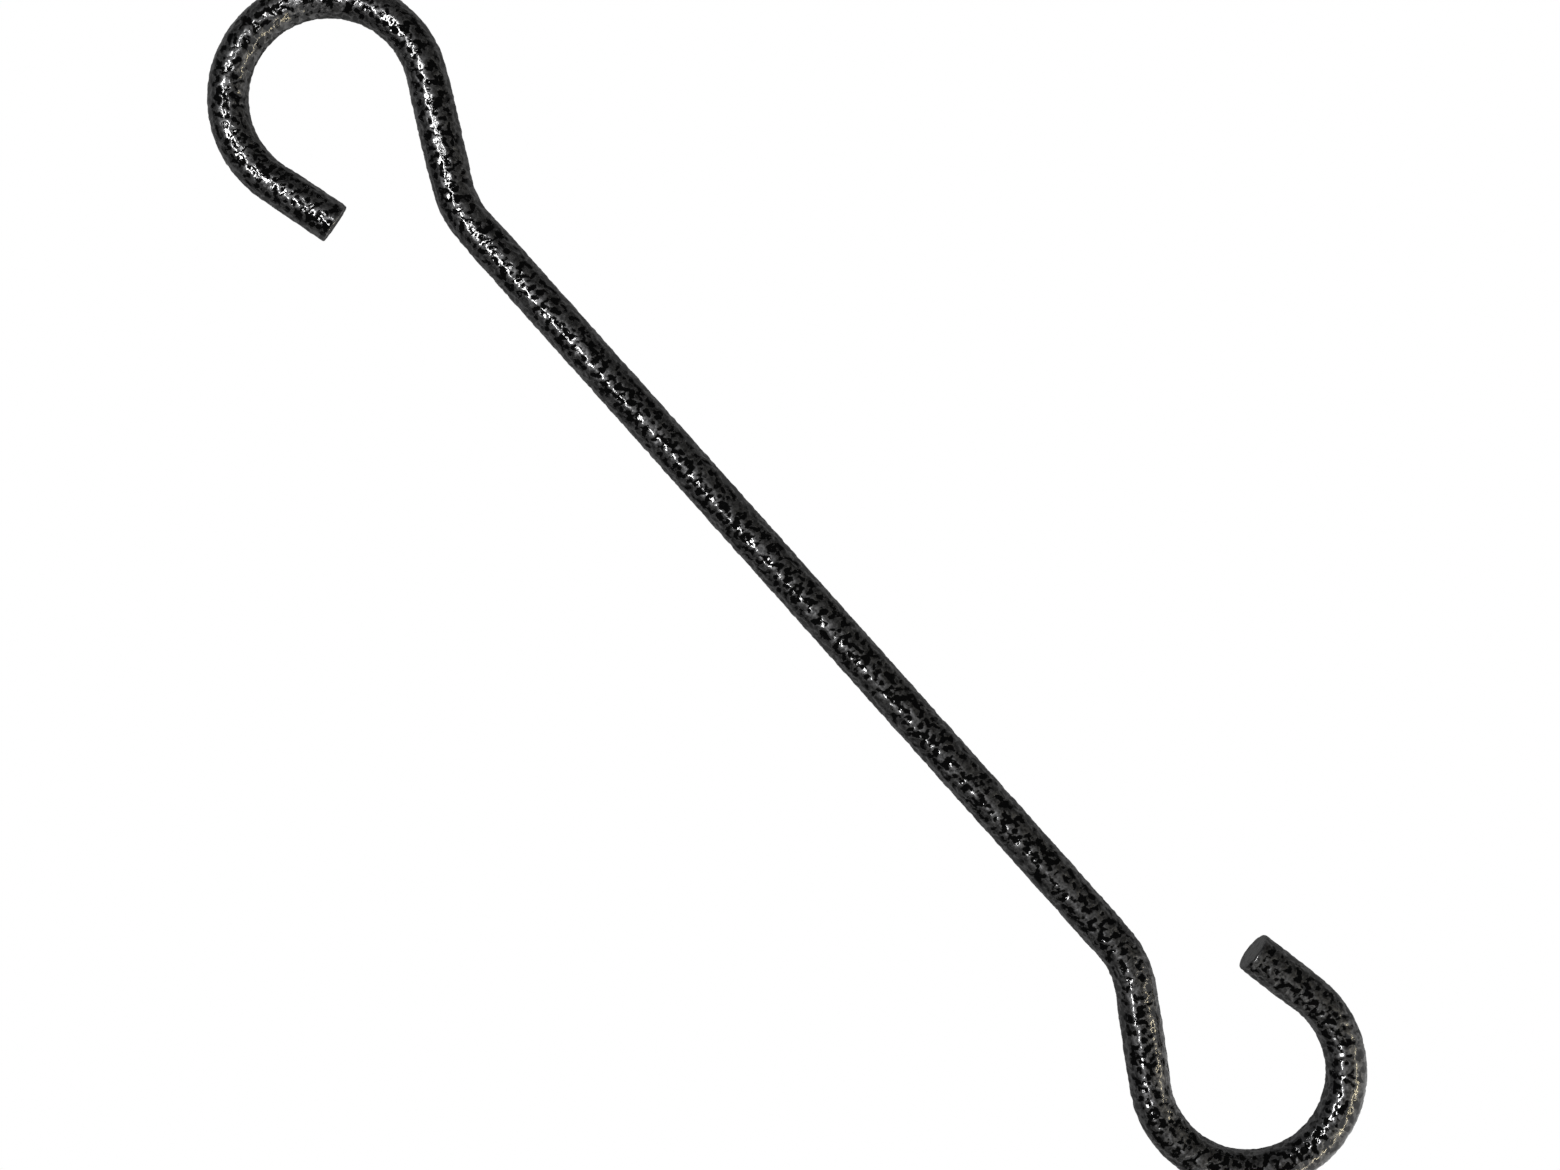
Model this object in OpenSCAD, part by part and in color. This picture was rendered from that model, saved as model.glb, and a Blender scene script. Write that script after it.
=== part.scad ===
// Hanging hook: one round bar bent into a long S, with an open eye at each end.
//
// The bar hangs in the XZ plane and Y is its thickness. The origin is the upper seat, the highest point
// inside the upper eye, and Z runs up through the middles of both eyes, which is the line the load pulls along.

/* [Bar] */

// Bar diameter over its coat
bar_d = 8.1; // [6:0.1:12]
// How much thinner the bar is where it has been bent
bend_thinning = 0.2; // [0.1:0.05:0.4]
// Length over which a straight run thins towards a bend
taper_len = 5; // [2:0.5:5.5]
// Straight length between the two necks
shank_len = 185; // [100:1:320]

/* [Upper hook] */

// Inside diameter of the upper eye
upper_eye_d = 31; // [26:0.1:44]
// How far the upper eye bends round, in degrees
upper_eye_turn = 223.2; // [200:0.1:235]
// Centreline radius of the bend under the upper eye
upper_neck_r = 18.7; // [12:0.1:30]
// How far the upper neck bends back, in degrees
upper_neck_turn = 28.8; // [20:0.1:40]
// Straight length between the upper neck and its eye
upper_leg_len = 21.4; // [12:0.1:32]
// Straight length at the upper free end
upper_tip_len = 14.6; // [8:0.1:18]

/* [Lower hook] */

// Inside diameter of the lower eye
lower_eye_d = 30.1; // [26:0.1:44]
// How far the lower eye bends round, in degrees
lower_eye_turn = 224.2; // [200:0.1:235]
// Centreline radius of the bend over the lower eye
lower_neck_r = 18; // [12:0.1:30]
// How far the lower neck bends back, in degrees
lower_neck_turn = 33.4; // [20:0.1:40]
// Straight length between the lower neck and its eye
lower_leg_len = 18.7; // [12:0.1:32]
// Straight length at the lower free end
lower_tip_len = 13.4; // [8:0.1:18]

/* [Sheared ends] */

// How far the shear's cut leans from square, in degrees
shear_lean = 6.5; // [0:0.5:8]
// Depth of the softened edge round a cut end
end_soft = 0.4; // [0.2:0.1:1.2]

/* [Hidden] */

$fn = 72;

quarter_turn = 90;
half_turn = 180;

// The bar's radius along a straight run, in a bend, and where a run's taper ends at a bend
taper_share = 0.8;
bar_r = bar_d / 2;
bend_r = bar_r - bend_thinning / 2;
taper_r = bar_r - taper_share * bend_thinning / 2;

// Centreline radii of the two eyes
upper_eye_r = upper_eye_d / 2 + bend_r;
lower_eye_r = lower_eye_d / 2 + bend_r;

// The softened edge's points outward and down, as shares of its depth; the last one is clear of the bar
soft_shares = [[0, 0], [0.71, -0.29], [0.97, -0.74], [1.48, -2.67]];

// Where an eye's middle lies from the shank's middle, with the shank along Y and the neck bending towards X
function eye_middle(neck_r, neck_turn, leg_len, eye_r) = [
    neck_r - (neck_r + eye_r) * cos(neck_turn) + leg_len * sin(neck_turn),
    shank_len / 2 + (neck_r + eye_r) * sin(neck_turn) + leg_len * cos(neck_turn)
];
upper_middle = eye_middle(upper_neck_r, upper_neck_turn, upper_leg_len, upper_eye_r);
lower_middle = -eye_middle(lower_neck_r, lower_neck_turn, lower_leg_len, lower_eye_r);

// How far the shank leans from the line through both middles
load_line = upper_middle - lower_middle;
shank_lean = atan2(load_line[0], load_line[1]);

// Turns an outline of [radius, height] points about Y
module turned_about_y(outline) {
    rotate([-quarter_turn, 0, 0])
        rotate_extrude()
            polygon(outline);
}

// A straight run of bar along Y between two bends, and what follows at its end
module straight(length) {
    turned_about_y([
        [0, 0],
        [taper_r, 0],
        [bar_r, taper_len],
        [bar_r, length - taper_len],
        [taper_r, length],
        [0, length]
    ]);
    translate([0, length, 0])
        children();
}

// A straight run of bar after a bend, ending in a cut with a softened edge that leans out of the bending plane
module sheared_tip(length, lean) {
    flat_r = bar_r - end_soft;
    beyond = length + bar_d;
    intersection() {
        turned_about_y([
            [0, 0],
            [taper_r, 0],
            [bar_r, taper_len],
            [bar_r, beyond],
            [0, beyond]
        ]);
        translate([0, length, 0])
            rotate([lean, 0, 0])
                turned_about_y([
                    [0, 0],
                    for (share = soft_shares) [flat_r + share[0] * end_soft, share[1] * end_soft],
                    [bar_d, -beyond],
                    [0, -beyond]
                ]);
    }
}

// A whole ring of bent bar about Z, with its seam on the -Y side
module ring(radius) {
    rotate([0, 0, -quarter_turn])
        rotate_extrude()
            translate([radius, 0])
                circle(r = bend_r);
}

// The half of space on the +Y side, as far as a ring reaches
module half_space(radius) {
    reach = 2 * radius;
    translate([-reach, 0, -bar_d])
        cube([2 * reach, reach, 2 * bar_d]);
}

// The part of a ring that a bend of less than half a turn keeps
module short_arc(radius, turn) {
    intersection() {
        ring(radius);
        half_space(radius);
        rotate([0, 0, turn + half_turn])
            half_space(radius);
    }
}

// The part of a ring that a bend of more than half a turn keeps
module long_arc(radius, turn) {
    difference() {
        ring(radius);
        intersection() {
            rotate([0, 0, half_turn])
                half_space(radius);
            rotate([0, 0, turn])
                half_space(radius);
        }
    }
}

// A bend towards -X, and what follows at its end
module bend(radius, turn) {
    translate([-radius, 0, 0]) {
        if (turn < half_turn)
            short_arc(radius, turn);
        else
            long_arc(radius, turn);
        rotate([0, 0, turn])
            translate([radius, 0, 0])
                children();
    }
}

// Turns what follows over, so that it bends the other way
module turned_over() {
    rotate([0, half_turn, 0])
        children();
}

// What bends on from one end of the shank, and what follows at its end
module hook_end(neck_r, neck_turn, leg_len, eye_r, eye_turn) {
    turned_over()
        bend(neck_r, neck_turn)
            straight(leg_len)
                turned_over()
                    bend(eye_r, eye_turn)
                        children();
}

// The bar in its bending plane, with the shank along Y and its middle at the origin.
// Its two cuts were parallel before it was bent, so they lean to opposite sides.
module bent_bar() {
    translate([0, -shank_len / 2, 0])
        straight(shank_len)
            hook_end(upper_neck_r, upper_neck_turn, upper_leg_len, upper_eye_r, upper_eye_turn)
                sheared_tip(upper_tip_len, -shear_lean);
    rotate([0, 0, half_turn])
        translate([0, shank_len / 2, 0])
            hook_end(lower_neck_r, lower_neck_turn, lower_leg_len, lower_eye_r, lower_eye_turn)
                sheared_tip(lower_tip_len, shear_lean);
}

module hook() {
    color("#1c1c1d")
        rotate([quarter_turn, 0, 0])
            translate([0, -upper_eye_d / 2, 0])
                rotate([0, 0, shank_lean])
                    translate([-upper_middle[0], -upper_middle[1], 0])
                        bent_bar();
}

hook();
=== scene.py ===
"""Looks of the hanging hook: a round bar bent into a long S, under a glossy black hammer-finish coat.

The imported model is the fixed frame, in metres: the bar lies in the XZ plane, Y is its thickness, and the
origin is the upper seat. The bar is swept again here along the same bends, so that the coat's pits are in
its mesh, and the material takes the pits' places from that mesh.
"""

import cmath
import math

import bpy
import numpy as np
from mathutils import Matrix, Vector, noise


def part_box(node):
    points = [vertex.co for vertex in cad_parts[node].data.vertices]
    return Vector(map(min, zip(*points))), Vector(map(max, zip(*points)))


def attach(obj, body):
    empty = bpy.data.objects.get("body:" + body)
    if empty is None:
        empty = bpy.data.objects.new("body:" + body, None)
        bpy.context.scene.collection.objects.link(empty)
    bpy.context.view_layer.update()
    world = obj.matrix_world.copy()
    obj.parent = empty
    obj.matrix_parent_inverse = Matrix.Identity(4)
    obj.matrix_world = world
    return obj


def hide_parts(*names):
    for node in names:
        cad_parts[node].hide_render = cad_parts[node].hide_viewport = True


MM = 0.001

# The bar's bends, as the solid has them
BAR_R = 4.05 * MM
BEND_R = 3.95 * MM
TAPER_LEN = 5 * MM
SHANK_LEN = 185 * MM
UPPER_EYE_D = 31 * MM
UPPER_EYE_TURN = math.radians(223.2)
UPPER_NECK_R = 18.7 * MM
UPPER_NECK_TURN = math.radians(28.8)
UPPER_LEG_LEN = 21.4 * MM
UPPER_TIP_LEN = 14.6 * MM
LOWER_EYE_D = 30.1 * MM
LOWER_EYE_TURN = math.radians(224.2)
LOWER_NECK_R = 18 * MM
LOWER_NECK_TURN = math.radians(33.4)
LOWER_LEG_LEN = 18.7 * MM
LOWER_TIP_LEN = 13.4 * MM
SHEAR_LEAN = math.radians(6.5)
END_SOFT = 0.4 * MM

# How finely the bar is swept
RING_STEP = 0.335 * MM
RING_POINTS = 76
SOFT_RINGS = 4
FACE_RINGS = 9

# The coat's relief: pits that run together, on a surface that is uneven like hammered metal
RELIEF_SEED = 12
PIT_SPACING = 1.2 * MM
PIT_REACH = 0.64
PIT_DEPTH = 0.14 * MM
PIT_UNEVENNESS = 0.18
WARP_SIZE = 1.1 * MM
WARP_REACH = 0.6 * MM
SWELL_SIZE = 1.2 * MM
SWELL_DEPTH = 0.11 * MM
SWELL_CREST = 0.5
SWELL_OFFSET = Vector((7, 3, 5))
RELIEF_RISE = 0.12 * MM
END_RELIEF_SHARE = 0.35

# The coat's colours and gloss
PIT_BLACK = (0.0016, 0.0016, 0.0017, 1)
DARK_FLAKE = (0.027, 0.027, 0.0275)
LIGHT_FLAKE = (0.12, 0.12, 0.122)
PIT_ROUGHNESS = 0.9
GROUND_ROUGHNESS = 0.42
GROUND_METAL = 0.85
COAT_ROUGHNESS = 0.08
FLAKE_BUMP = 0.04 * MM

# The picture: where its middle lies on the bar's plane, how wide that plane is seen, and how it is rolled
PICTURE_MIDDLE = Vector((-1.15, 0, -143.5)) * MM
PICTURE_WIDTH = 300.9 * MM
CAMERA_DISTANCE = 637 * MM
CAMERA_ROLL = math.radians(43.35)
SENSOR_WIDTH = 36

# Lamps: the way to each from the picture's middle, its distance, its width and height, the way that its
# height points, its radiance and its colour
PLAIN_WHITE = (1, 1, 1)
WARM_WHITE = (1, 0.87, 0.58)
KEY_LAMP = dict(way=(-0.309, -1, 0.297), distance=2.5, size=(0.17, 1.2), upright=(0.723, 0, 0.691),
                radiance=75, colour=PLAIN_WHITE)
WARM_STRIP = dict(way=(0.083, -0.36, -0.652), distance=0.75, size=(0.012, 0.92), upright=(0.958, 0, 0.287),
                  radiance=62, colour=WARM_WHITE)
FILL_LAMP = dict(way=(0.008, -0.2, 0.137), distance=0.242, size=(0.02, 0.02), upright=(0, 0, 1),
                 radiance=36, colour=PLAIN_WHITE)

# What the gloss shows of the surround, from where the camera stands (0) to straight behind the hook (1)
GLOSS_STOPS = [(0.5, 0.02), (0.66, 0.4), (0.8, 0.3), (0.9, 0.15), (0.96, 0.2), (0.99, 0.06)]
AMBIENT_LEVEL = 0.25

# The floor under the hook, clear of the main picture, and how much paler it shows than the lamps make it
FLOOR_DROP = 0.75
FLOOR_RADIUS = 1.5
FLOOR_SIDES = 96
FLOOR_GLOW = 0.42


def smooth_step(low, high, value):
    """0 below low and 1 above high, with a smooth rise between."""
    t = np.clip((value - low) / (high - low), 0, 1)
    return t * t * (3 - 2 * t)


def bar_runs():
    """The bar's straight and bent runs from its upper free end to its lower one: (length, turn)."""
    upper_eye_r = UPPER_EYE_D / 2 + BEND_R
    lower_eye_r = LOWER_EYE_D / 2 + BEND_R
    return [
        (UPPER_TIP_LEN, 0),
        (upper_eye_r * UPPER_EYE_TURN, -UPPER_EYE_TURN),
        (UPPER_LEG_LEN, 0),
        (UPPER_NECK_R * UPPER_NECK_TURN, UPPER_NECK_TURN),
        (SHANK_LEN, 0),
        (LOWER_NECK_R * LOWER_NECK_TURN, -LOWER_NECK_TURN),
        (LOWER_LEG_LEN, 0),
        (lower_eye_r * LOWER_EYE_TURN, LOWER_EYE_TURN),
        (LOWER_TIP_LEN, 0),
    ]


def moved_on(place, heading, length, turn):
    """Where a run with that turn gets to after a length of it; a place is x + iz."""
    if turn == 0:
        return place + length * cmath.exp(1j * heading)
    radius = length / turn
    return place + radius * 1j * (cmath.exp(1j * heading) - cmath.exp(1j * (heading + turn)))


def walked():
    """The bar's middle line in the frame, from the upper free end: each ring's place, heading and radius."""
    runs = bar_runs()
    places, headings, radii, middles = [], [], [], []
    place, heading = 0j, 0.0
    for index, (length, turn) in enumerate(runs):
        first = index == 0
        last = index == len(runs) - 1
        start = END_SOFT if first else 0
        stop = length - END_SOFT if last else length
        count = math.ceil((stop - start) / RING_STEP)
        for step in range(count + last):
            at = start + (stop - start) * step / count
            places.append(moved_on(place, heading, at, turn * at / length))
            headings.append(heading + turn * at / length)
            to_bend = min(math.inf if first else at, math.inf if last else length - at)
            thick = 0 if turn else smooth_step(0, TAPER_LEN, to_bend)
            radii.append(BEND_R + (BAR_R - BEND_R) * thick)
        if abs(turn) > math.pi:
            middles.append(place + length / turn * 1j * cmath.exp(1j * heading))
        place = moved_on(place, heading, length, turn)
        heading += turn
    upper, lower = middles
    upright = 1j * abs(upper - lower) / (upper - lower)
    places = (np.array(places) - upper) * upright - 1j * UPPER_EYE_D / 2
    headings = np.array(headings) + cmath.phase(upright)
    return places, headings, np.array(radii)


def pit_at(point):
    """How deep a point lies in one of the coat's pits, which are bowls: from 0 at the brim to 1."""
    warped = point + noise.noise_vector(point / WARP_SIZE) * WARP_REACH
    nearest = noise.voronoi(warped / PIT_SPACING)[0][0]
    uneven = PIT_UNEVENNESS * noise.noise(point / SWELL_SIZE)
    return max(0, 1 - (max(0, nearest + uneven) / PIT_REACH) ** 2)


def swell_at(point):
    """How far the coat's unevenness lies below its crests, from 0 to about 1.5."""
    return max(0, SWELL_CREST - noise.fractal(point / SWELL_SIZE + SWELL_OFFSET, 1, 2, 2))


class Sweep:
    """Rings of points and their outward directions, from which the bar's mesh is made."""

    def __init__(self):
        self.points = []
        self.outward = []
        self.relief_shares = []

    def ring(self, place, heading, radius, outward_tilt=0.0, slant=0.0, relief_share=1.0):
        """One ring about a place. outward_tilt turns its outward directions ahead; slant leans it along Y."""
        ahead = np.array([math.cos(heading), 0, math.sin(heading)])
        across = np.array([-math.sin(heading), 0, math.cos(heading)])
        aside = np.array([0, 1, 0])
        angles = np.arange(RING_POINTS) / RING_POINTS * math.tau
        spoke = np.outer(np.cos(angles), across) + np.outer(np.sin(angles), aside)
        middle = np.array([place.real, 0, place.imag])
        points = middle + radius * spoke + np.outer(radius * np.sin(angles) * slant, ahead)
        self.points.append(points)
        self.outward.append(spoke * math.cos(outward_tilt) + ahead * math.sin(outward_tilt))
        self.relief_shares.append(np.full(RING_POINTS, relief_share))

    def end(self, place, heading, radius, way, slant):
        """A free end's softened edge and face. way is 1 where the bar runs on to the end, else -1."""
        tilts = np.linspace(0, math.pi / 2, SOFT_RINGS + 1)[1:]
        steps = [(radius - END_SOFT * (1 - math.cos(t)), END_SOFT * math.sin(t), t) for t in tilts]
        shares = np.linspace(1, 0, FACE_RINGS + 1)[1:-1]
        steps += [((radius - END_SOFT) * share, END_SOFT, math.pi / 2) for share in shares]
        if way < 0:
            steps.reverse()
        for ring_r, reach, tilt in steps:
            middle = place + way * reach * cmath.exp(1j * heading)
            relief_share = 1 + (END_RELIEF_SHARE - 1) * reach / END_SOFT
            self.ring(middle, heading, ring_r, way * tilt, slant, relief_share)


def swept_bar():
    """The rings of the whole bar, from the upper end's face to the lower one's."""
    places, headings, radii = walked()
    lean = math.tan(SHEAR_LEAN)
    sweep = Sweep()
    sweep.end(places[0], headings[0], radii[0], -1, lean)
    lengths = np.r_[0, np.cumsum(np.abs(np.diff(places)))]
    for place, heading, radius, at in zip(places, headings, radii, lengths):
        slant = lean * (1 - smooth_step(0, BAR_R, min(at, lengths[-1] - at)))
        sweep.ring(place, heading, radius, slant=slant)
    sweep.end(places[-1], headings[-1], radii[-1], 1, lean)
    return sweep


def ring_faces(rings):
    """The faces between that many rings and of both ends, whose two middles come after the rings' points."""
    corner = np.arange(RING_POINTS)
    after = (corner + 1) % RING_POINTS
    faces = []
    for ring in range(rings - 1):
        near = ring * RING_POINTS
        far = near + RING_POINTS
        faces += np.column_stack([near + corner, near + after, far + after, far + corner]).tolist()
    edges = list(zip(corner.tolist(), after.tolist()))
    last_ring = (rings - 1) * RING_POINTS
    first_middle = rings * RING_POINTS
    last_middle = first_middle + 1
    faces += [(first_middle, b, a) for a, b in edges]
    faces += [(last_middle, last_ring + a, last_ring + b) for a, b in edges]
    return faces


def hook_mesh(low, high):
    """The swept bar with its relief, kept between two corners. Each point holds its pit and relief values."""
    sweep = swept_bar()
    points = np.concatenate(sweep.points)
    outward = np.concatenate(sweep.outward)
    shares = np.concatenate(sweep.relief_shares)
    noise.seed_set(RELIEF_SEED)
    vectors = [Vector(p) for p in points]
    pits = np.array([pit_at(v) for v in vectors]) * shares
    swells = np.array([swell_at(v) for v in vectors])
    depth = PIT_DEPTH * pits + (SWELL_DEPTH * swells - RELIEF_RISE) * shares
    points = np.clip(points - outward * depth[:, None], low, high)

    end_middles = [points[:RING_POINTS].mean(0), points[-RING_POINTS:].mean(0)]
    points = np.vstack([points, *end_middles])
    pits = np.r_[pits, 0, 0]
    shares = np.r_[shares, END_RELIEF_SHARE, END_RELIEF_SHARE]
    faces = ring_faces(len(sweep.points))

    mesh = bpy.data.meshes.new("hook_bar")
    mesh.from_pydata(points.tolist(), [], faces)
    mesh.polygons.foreach_set("use_smooth", np.ones(len(faces), bool))
    mesh.attributes.new("pit", "FLOAT", "POINT").data.foreach_set("value", pits.astype(np.float32))
    mesh.attributes.new("relief", "FLOAT", "POINT").data.foreach_set("value", shares.astype(np.float32))
    mesh.update()
    return mesh


class Nodes:
    """A short way to add nodes to a material's or the world's tree."""

    def __init__(self, owner):
        owner.use_nodes = True
        self.tree = owner.node_tree
        self.tree.nodes.clear()

    def add(self, kind, values=None, **settings):
        """A node of that kind. settings are its own fields; values, numbers or sockets, go to its inputs."""
        node = self.tree.nodes.new("ShaderNode" + kind)
        for name, value in settings.items():
            setattr(node, name, value)
        for name, value in (values or {}).items():
            if isinstance(value, bpy.types.NodeSocket):
                self.tree.links.new(value, node.inputs[name])
            else:
                node.inputs[name].default_value = value
        return node

    def ramp(self, factor, stops):
        """A colour ramp with those (place, grey or colour) stops."""
        node = self.add("ValToRGB", {"Fac": factor})
        elements = node.color_ramp.elements
        while len(elements) < len(stops):
            elements.new(1)
        for element, (place, colour) in zip(elements, stops):
            element.position = place
            element.color = (*colour, 1) if isinstance(colour, tuple) else (colour, colour, colour, 1)
        return node.outputs["Color"]

    def larger(self, one, other):
        """The larger of two values."""
        return self.add("Math", {0: one, 1: other}, operation="MAXIMUM").outputs[0]


def hammer_finish():
    """Black hammer-finish coat: matt black pits in a glossy charcoal ground that holds fine flake."""
    material = bpy.data.materials.new("hammered_black")
    nodes = Nodes(material)
    place = nodes.add("TexCoord").outputs["Object"]
    pit = nodes.add("Attribute", attribute_name="pit").outputs["Fac"]
    relief = nodes.add("Attribute", attribute_name="relief").outputs["Fac"]
    ragged = nodes.add("TexNoise", {"Vector": place, "Scale": 2400, "Detail": 2}).outputs["Fac"]
    flake = nodes.add("TexNoise", {"Vector": place, "Scale": 1500, "Detail": 3}).outputs["Fac"]
    broken = nodes.add("Math", {0: ragged, 1: 0.7, 2: pit}, operation="MULTIPLY_ADD").outputs[0]
    ground = nodes.ramp(broken, [(0.57, 1.0), (0.78, 0.0)])
    grey = nodes.ramp(flake, [(0.35, DARK_FLAKE), (0.7, LIGHT_FLAKE)])
    colour = nodes.add("Mix", {6: PIT_BLACK, 7: grey, "Factor": ground}, data_type="RGBA").outputs[2]
    dull = nodes.ramp(ground, [(0.0, PIT_ROUGHNESS), (1.0, GROUND_ROUGHNESS)])
    metal = nodes.ramp(ground, [(0.0, 0.0), (1.0, GROUND_METAL)])
    bump = nodes.add("Bump", {"Height": flake, "Strength": relief, "Distance": FLAKE_BUMP}).outputs["Normal"]
    coat = nodes.add("BsdfPrincipled", {
        "Base Color": colour,
        "Metallic": metal,
        "Roughness": dull,
        "Normal": bump,
        "Specular IOR Level": 0.0,
        "Coat Weight": 1.0,
        "Coat Roughness": COAT_ROUGHNESS,
        "Coat Normal": bump,
    })
    nodes.add("OutputMaterial", {"Surface": coat.outputs["BSDF"]})
    return material


def pale_floor():
    """The plain pale floor's material, with a slight unevenness. It glows a little where it is seen."""
    material = bpy.data.materials.new("pale_floor")
    nodes = Nodes(material)
    place = nodes.add("TexCoord").outputs["Object"]
    grain = nodes.add("TexNoise", {"Vector": place, "Scale": 40, "Detail": 4}).outputs["Fac"]
    colour = nodes.ramp(grain, [(0.3, 0.78), (0.7, 0.82)])
    paint = nodes.add("BsdfPrincipled", {"Base Color": colour, "Roughness": 0.7}).outputs["BSDF"]
    path = nodes.add("LightPath").outputs
    eye = nodes.larger(path["Is Camera Ray"], path["Is Transmission Ray"])
    seen = nodes.larger(eye, path["Is Glossy Ray"])
    strength = nodes.add("Math", {0: seen, 1: FLOOR_GLOW}, operation="MULTIPLY").outputs[0]
    glow = nodes.add("Emission", {"Color": (1, 1, 1, 1), "Strength": strength}).outputs[0]
    both = nodes.add("AddShader", {0: paint, 1: glow}).outputs[0]
    nodes.add("OutputMaterial", {"Surface": both})
    return material


def add_object(name, mesh, material):
    """An object with that mesh and material, in the scene."""
    mesh.materials.append(material)
    piece = bpy.data.objects.new(name, mesh)
    bpy.context.scene.collection.objects.link(piece)
    return piece


def floor_mesh(middle):
    """A flat disc about a place."""
    rim = []
    for side in range(FLOOR_SIDES):
        angle = math.tau * side / FLOOR_SIDES
        rim.append(middle + FLOOR_RADIUS * Vector((math.cos(angle), math.sin(angle), 0)))
    mesh = bpy.data.meshes.new("floor")
    mesh.from_pydata(rim, [], [list(range(FLOOR_SIDES))])
    return mesh


def add_lamp(name, way, distance, size, upright, radiance, colour):
    """An oblong area lamp that faces the picture's middle, with its height turned upright."""
    data = bpy.data.lights.new(name, "AREA")
    data.shape = "RECTANGLE"
    data.size, data.size_y = size
    data.energy = radiance * math.pi * size[0] * size[1]
    data.color = colour
    lamp = bpy.data.objects.new(name, data)
    out = Vector(way).normalized()
    across = Vector(upright).cross(out).normalized()
    turned = Matrix((across, out.cross(across), out)).transposed()
    lamp.matrix_world = Matrix.Translation(PICTURE_MIDDLE + out * distance) @ turned.to_4x4()
    lamp.visible_camera = False
    bpy.context.scene.collection.objects.link(lamp)


def add_surround():
    """White to the eye from all sides. In gloss it is dim round the camera and brightest aslant behind."""
    world = bpy.data.worlds.new("surround")
    bpy.context.scene.world = world
    nodes = Nodes(world)
    path = nodes.add("LightPath").outputs
    way = nodes.add("TexCoord").outputs["Generated"]
    behind = nodes.add("SeparateXYZ", {"Vector": way}).outputs["Y"]
    level = nodes.add("MapRange", {"Value": behind, "From Min": -1, "From Max": 1}).outputs["Result"]
    shown = nodes.ramp(level, GLOSS_STOPS)
    ambient = nodes.add("Background", {"Color": (1, 1, 1, 1), "Strength": AMBIENT_LEVEL}).outputs[0]
    gloss = nodes.add("Background", {"Color": shown, "Strength": 1}).outputs[0]
    white = nodes.add("Background", {"Color": (1, 1, 1, 1), "Strength": 1}).outputs[0]
    lit = nodes.add("MixShader", {0: path["Is Glossy Ray"], 1: ambient, 2: gloss}).outputs[0]
    eye = nodes.larger(path["Is Camera Ray"], path["Is Transmission Ray"])
    seen = nodes.add("MixShader", {0: eye, 1: lit, 2: white}).outputs[0]
    nodes.add("OutputWorld", {"Surface": seen})


def add_camera():
    """The photograph's camera: square on to the bar's plane, and rolled."""
    data = bpy.data.cameras.new("camera")
    data.sensor_fit = "HORIZONTAL"
    data.sensor_width = SENSOR_WIDTH
    data.lens = SENSOR_WIDTH * CAMERA_DISTANCE / PICTURE_WIDTH
    camera = bpy.data.objects.new("camera", data)
    bpy.context.scene.collection.objects.link(camera)
    facing = Matrix.Rotation(math.pi / 2, 4, "X") @ Matrix.Rotation(-CAMERA_ROLL, 4, "Z")
    camera.matrix_world = Matrix.Translation(PICTURE_MIDDLE - Vector((0, CAMERA_DISTANCE, 0))) @ facing
    bpy.context.scene.camera = camera


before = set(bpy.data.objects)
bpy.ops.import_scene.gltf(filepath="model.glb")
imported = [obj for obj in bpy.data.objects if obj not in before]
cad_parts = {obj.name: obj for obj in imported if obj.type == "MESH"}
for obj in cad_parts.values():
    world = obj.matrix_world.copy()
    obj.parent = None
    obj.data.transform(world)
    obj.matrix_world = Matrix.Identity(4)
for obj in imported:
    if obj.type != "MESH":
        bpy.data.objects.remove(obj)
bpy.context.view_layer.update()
low_corner, high_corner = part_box("hook")

bpy.context.scene.view_settings.view_transform = "Standard"
add_camera()
add_surround()
add_lamp("key_lamp", **KEY_LAMP)
add_lamp("warm_strip", **WARM_STRIP)
add_lamp("fill_lamp", **FILL_LAMP)

under = (low_corner + high_corner) / 2
under.z = low_corner.z - FLOOR_DROP
floor = add_object("floor", floor_mesh(under), pale_floor())

bar = add_object("hook_bar", hook_mesh(low_corner, high_corner), hammer_finish())
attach(bar, "root")
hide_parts("hook")
